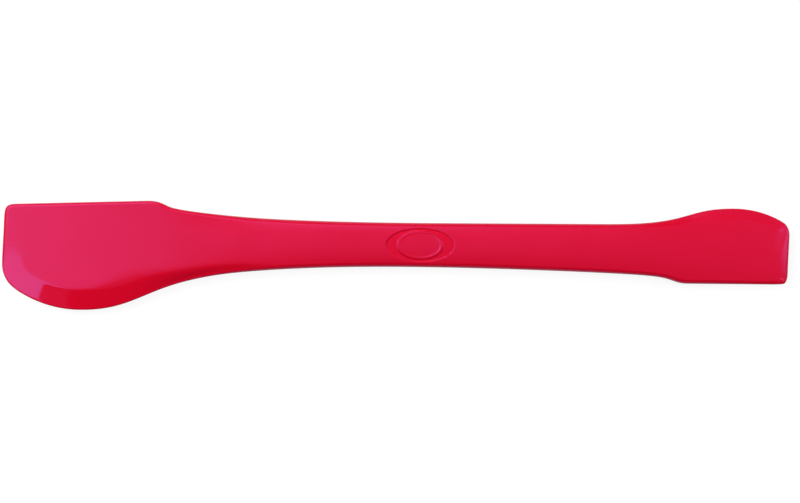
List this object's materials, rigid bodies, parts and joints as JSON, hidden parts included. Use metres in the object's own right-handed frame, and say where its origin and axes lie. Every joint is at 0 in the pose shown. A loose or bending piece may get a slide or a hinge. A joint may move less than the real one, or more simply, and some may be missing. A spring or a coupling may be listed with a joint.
{
  "type": "double-ended spatula",
  "caption": "Flat silicone spatula with a waisted handle, a broad scraping head at one end and a narrow one at the other, each with a curved bevelled lip, moulded over a stiff core.",
  "frame": {"origin": "on the flat back of the handle, midway between the two tips", "axes": "+X along the handle from the large head to the small head, +Y towards the large head's straight back edge, +Z out of the face with the oval recess"},
  "size_m": [0.2799, 0.0392, 0.009],
  "materials": {
    "silicone": "satin red silicone",
    "core_nylon": "matt glass-filled nylon"
  },
  "bodies": {
    "root": {"silicone_body": "silicone", "nylon_core": "core_nylon"}
  },
  "joints": []
}
